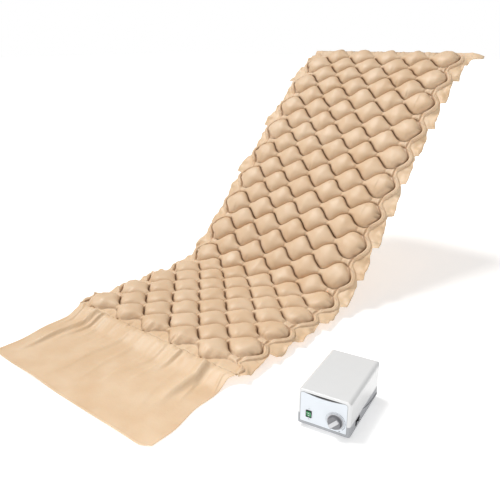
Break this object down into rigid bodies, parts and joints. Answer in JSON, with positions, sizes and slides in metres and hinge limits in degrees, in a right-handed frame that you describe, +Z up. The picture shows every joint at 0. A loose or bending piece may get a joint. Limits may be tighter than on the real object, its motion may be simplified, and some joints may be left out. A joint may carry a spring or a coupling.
{
  "type": "pressure relief mattress",
  "caption": "Alternating-pressure overlay of welded beige air cells in two circuits, with tuck-in flaps, bending back and head sections, and its boxed air pump with knob and switch.",
  "frame": {"origin": "on the overlay's centreline, at the foot edge of its air cells, in the plane of the mattress it lies on", "axes": "+X to the overlay's right edge, +Y from foot to head, +Z up"},
  "size_m": [1.2717, 2.0853, 0.9613],
  "materials": {
    "vinyl_film": "satin",
    "vinyl_fitting": "satin",
    "grey_case": "satin",
    "white_case": "gloss",
    "panel": "satin",
    "dark_trim": "satin",
    "scale_plate": "satin",
    "knob_grey": "satin",
    "knob_bar": "satin",
    "steel": "satin",
    "brass": "satin",
    "switch_black": "gloss",
    "rocker_green": "gloss",
    "black_rubber": "matte",
    "bail_wire": "satin",
    "nozzle_metal": "polished",
    "filter_felt": "matte",
    "zinc_plate": "satin",
    "laminations": "matte",
    "copper_winding": "satin",
    "magnet": "matte",
    "ivory_plastic": "satin",
    "orange_plastic": "satin",
    "board_green": "satin"
  },
  "bodies": {
    "pad_foot": {"foot_air_cells_a": "vinyl_film", "foot_air_cells_b": "vinyl_film", "foot_weld_web": "vinyl_film", "foot_side_hems": "vinyl_film", "foot_air_channel_left": "vinyl_film", "foot_air_channel_right": "vinyl_film", "overlay_port_left": "vinyl_fitting", "overlay_port_right": "vinyl_fitting"},
    "pad_back": {"back_air_cells_a": "vinyl_film", "back_air_cells_b": "vinyl_film", "back_weld_web": "vinyl_film", "back_side_hems": "vinyl_film", "back_air_channel_left": "vinyl_film", "back_air_channel_right": "vinyl_film"},
    "pad_head": {"head_air_cells_a": "vinyl_film", "head_air_cells_b": "vinyl_film", "head_weld_web": "vinyl_film", "head_side_hems": "vinyl_film", "head_air_channel_left": "vinyl_film", "head_air_channel_right": "vinyl_film"},
    "foot_flap": {"foot_flap": "vinyl_film"},
    "head_flap": {"head_flap": "vinyl_film"},
    "pump": {"lower_case": "grey_case", "upper_case": "white_case", "front_panel": "panel", "brow_recess": "dark_trim", "scale_ring": "scale_plate", "regulator_body": "brass", "switch_bezel": "switch_black", "rocker_pin": "steel", "rubber_feet": "black_rubber", "foot_screws": "steel", "case_screws": "steel", "outlet_port": "dark_trim", "outlet_nozzle_a": "nozzle_metal", "outlet_nozzle_b": "nozzle_metal", "mains_gland": "black_rubber", "air_filter": "filter_felt", "filter_cover": "grey_case", "chassis_plate": "zinc_plate", "rubber_mounts": "black_rubber", "magnet_core": "laminations", "magnet_coil": "copper_winding", "pivot_bracket": "zinc_plate", "bellows_left": "black_rubber", "bellows_right": "black_rubber", "valve_chambers": "ivory_plastic", "valve_seat": "ivory_plastic", "timing_motor": "zinc_plate", "circuit_board": "board_green"},
    "knob": {"pressure_knob": "knob_grey", "knob_grip_bar": "knob_bar", "knob_spindle": "steel"},
    "rocker": {"rocker": "rocker_green"},
    "bail": {"hanging_bail": "bail_wire"},
    "arm_left": {"armature_left": "steel", "armature_magnets_left": "magnet"},
    "arm_right": {"armature_right": "steel", "armature_magnets_right": "magnet"},
    "valve_rotor": {"valve_rotor": "orange_plastic"}
  },
  "joints": [
    {"name": "back_bend", "type": "hinge", "parent": "pad_foot", "child": "pad_back", "pos_m": [0, 0.608, 0.03], "axis": [1, 0, 0], "range_deg": [-44, 26]},
    {"name": "head_bend", "type": "hinge", "parent": "pad_back", "child": "pad_head", "pos_m": [0, 1.42805, 0.82191], "axis": [1, 0, 0], "range_deg": [-33, 11]},
    {"name": "foot_flap_fold", "type": "hinge", "parent": "pad_foot", "child": "foot_flap", "pos_m": [0, -0.024, 0.03], "axis": [1, 0, 0], "range_deg": [-60, 90]},
    {"name": "head_flap_fold", "type": "hinge", "parent": "pad_head", "child": "head_flap", "pos_m": [0, 1.63939, 0.95916], "axis": [1, 0, 0], "range_deg": [0, 170]},
    {"name": "pump_lift", "type": "slide", "parent": "pad_foot", "child": "pump", "axis": [0, 0, 1], "range_m": [0, 0.25]},
    {"name": "knob_turn", "type": "hinge", "parent": "pump", "child": "knob", "pos_m": [0.79216, -0.05685, 0.052], "axis": [0.1736, -0.9848, 0], "range_deg": [-105, 195]},
    {"name": "rocker_tilt", "type": "hinge", "parent": "pump", "child": "rocker", "pos_m": [0.71465, -0.06645, 0.049], "axis": [0.9848, 0.1736, 0], "range_deg": [-24, 0]},
    {"name": "bail_swing", "type": "hinge", "parent": "pump", "child": "bail", "pos_m": [0.71295, 0.18507, 0.0065], "axis": [0.9848, 0.1736, 0], "range_deg": [0, 270]},
    {"name": "arm_left_swing", "type": "hinge", "parent": "pump", "child": "arm_left", "pos_m": [0.69017, 0.14145, 0.06], "axis": [0.9848, 0.1736, 0], "range_deg": [-1.5, 1.5], "stiffness_Nm_per_rad": 6, "deforming": ["bellows_left"]},
    {"name": "arm_right_swing", "type": "hinge", "parent": "pump", "child": "arm_right", "pos_m": [0.74926, 0.15187, 0.06], "axis": [0.9848, 0.1736, 0], "range_deg": [-1.5, 1.5], "stiffness_Nm_per_rad": 6, "deforming": ["bellows_right"]},
    {"name": "valve_turn", "type": "hinge", "parent": "pump", "child": "valve_rotor", "pos_m": [0.78191, 0.00125, 0.04], "axis": [0, 0, 1], "continuous": true}
  ],
  "couplings": [
    {"joint": "arm_right_swing", "follows": "arm_left_swing", "ratio": -1}
  ]
}
